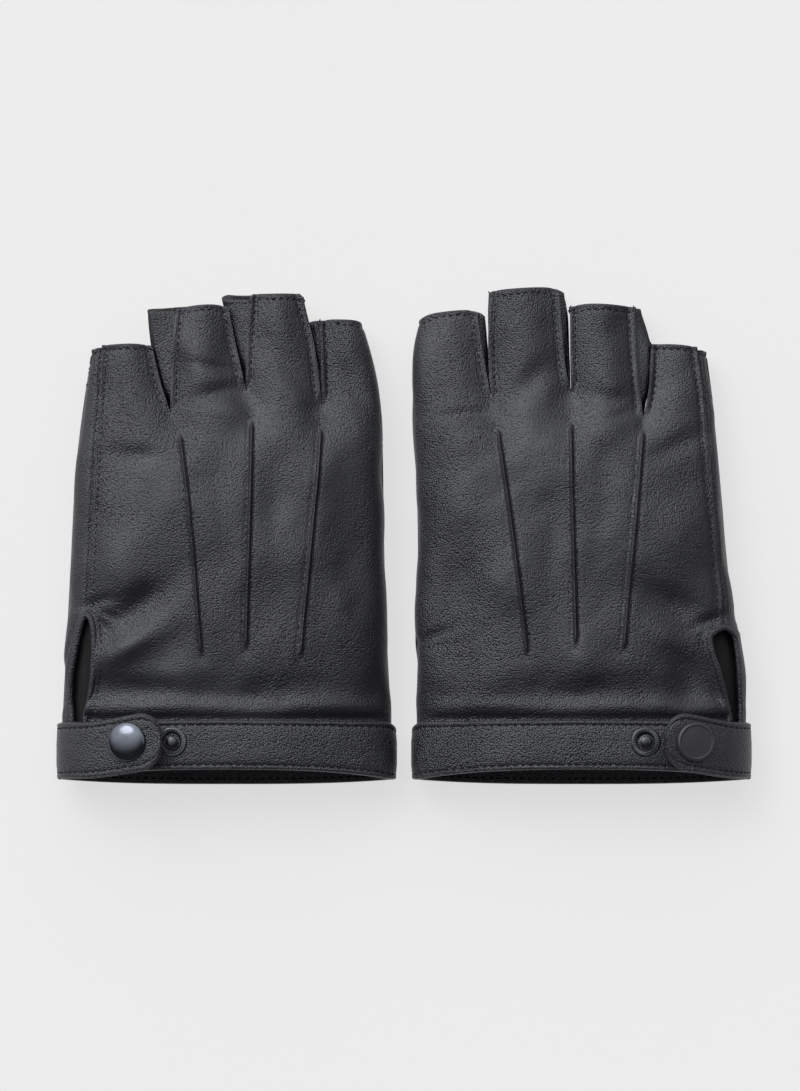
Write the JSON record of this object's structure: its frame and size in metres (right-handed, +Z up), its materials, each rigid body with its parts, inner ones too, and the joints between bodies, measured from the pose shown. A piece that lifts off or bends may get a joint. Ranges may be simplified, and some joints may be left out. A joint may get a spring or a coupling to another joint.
{
  "type": "pair of fingerless gloves",
  "caption": "Pair of lined leather fingerless driving gloves lying flat, with raised points on the back, a wrist vent and a tab that snaps down over the cuff.",
  "frame": {"origin": "on the table, in the middle of the pair's outline", "axes": "+X from the left glove to the right glove, +Y from the cuffs to the fingertips, +Z up from the table, out of the backs of the hands"},
  "size_m": [0.222, 0.1586, 0.0322],
  "materials": {
    "trank_leather": "pebble grain, semi-matte",
    "fourchette_leather": "pebble grain, semi-matte",
    "band_leather": "pebble grain, semi-matte",
    "lining_fabric": "brushed knit",
    "thread": "twisted polyester",
    "stud_metal": "dark nickel, satin",
    "spring_metal": "drawn wire",
    "cap_left": "polished gunmetal",
    "cap_right": "matte black"
  },
  "bodies": {
    "left_glove": {"left_shell": "trank_leather", "left_fourchette_forefinger_middle": "fourchette_leather", "left_fourchette_middle_ring": "fourchette_leather", "left_fourchette_ring_little": "fourchette_leather", "left_lining": "lining_fabric", "left_cuff_band": "band_leather", "left_vent_binding": "band_leather", "left_closing_stud": "stud_metal", "left_closing_stud_eyelet": "stud_metal", "left_spare_stud": "stud_metal", "left_spare_stud_eyelet": "stud_metal", "left_cuff_thread": "thread", "left_finger_thread": "thread", "left_point_thread": "thread", "left_side_seam_thread": "thread"},
    "left_thumb": {"left_thumb": "trank_leather", "left_thumb_lining": "lining_fabric", "left_thumb_thread": "thread"},
    "left_tab": {"left_cuff_tab": "band_leather", "left_tab_facing": "band_leather", "left_snap_cap": "cap_left", "left_snap_socket": "stud_metal", "left_snap_spring": "spring_metal", "left_tab_thread": "thread"},
    "right_glove": {"right_shell": "trank_leather", "right_fourchette_forefinger_middle": "fourchette_leather", "right_fourchette_middle_ring": "fourchette_leather", "right_fourchette_ring_little": "fourchette_leather", "right_lining": "lining_fabric", "right_cuff_band": "band_leather", "right_vent_binding": "band_leather", "right_closing_stud": "stud_metal", "right_closing_stud_eyelet": "stud_metal", "right_spare_stud": "stud_metal", "right_spare_stud_eyelet": "stud_metal", "right_cuff_thread": "thread", "right_finger_thread": "thread", "right_point_thread": "thread", "right_side_seam_thread": "thread"},
    "right_thumb": {"right_thumb": "trank_leather", "right_thumb_lining": "lining_fabric", "right_thumb_thread": "thread"},
    "right_tab": {"right_cuff_tab": "band_leather", "right_tab_facing": "band_leather", "right_snap_cap": "cap_right", "right_snap_socket": "stud_metal", "right_snap_spring": "spring_metal", "right_tab_thread": "thread"}
  },
  "joints": [
    {"name": "right_glove_slide", "type": "slide", "parent": "left_glove", "child": "right_glove", "axis": [1, 0, 0], "range_m": [0, 0.12]},
    {"name": "left_tab_hinge", "type": "hinge", "parent": "left_glove", "child": "left_tab", "pos_m": [-0.1056, -0.0658, 0.01996], "axis": [0, -1, 0], "range_deg": [0, 140], "deforming": ["left_snap_spring"]},
    {"name": "left_thumb_swing", "type": "hinge", "parent": "left_glove", "child": "left_thumb", "pos_m": [-0.0267, -0.0243, 0.004], "axis": [0, 0, -1], "range_deg": [0, 75]},
    {"name": "right_tab_hinge", "type": "hinge", "parent": "right_glove", "child": "right_tab", "pos_m": [0.1056, -0.0658, 0.01996], "axis": [0, 1, 0], "range_deg": [0, 140], "deforming": ["right_snap_spring"]},
    {"name": "right_thumb_swing", "type": "hinge", "parent": "right_glove", "child": "right_thumb", "pos_m": [0.0267, -0.0243, 0.004], "axis": [0, 0, 1], "range_deg": [0, 75]}
  ]
}
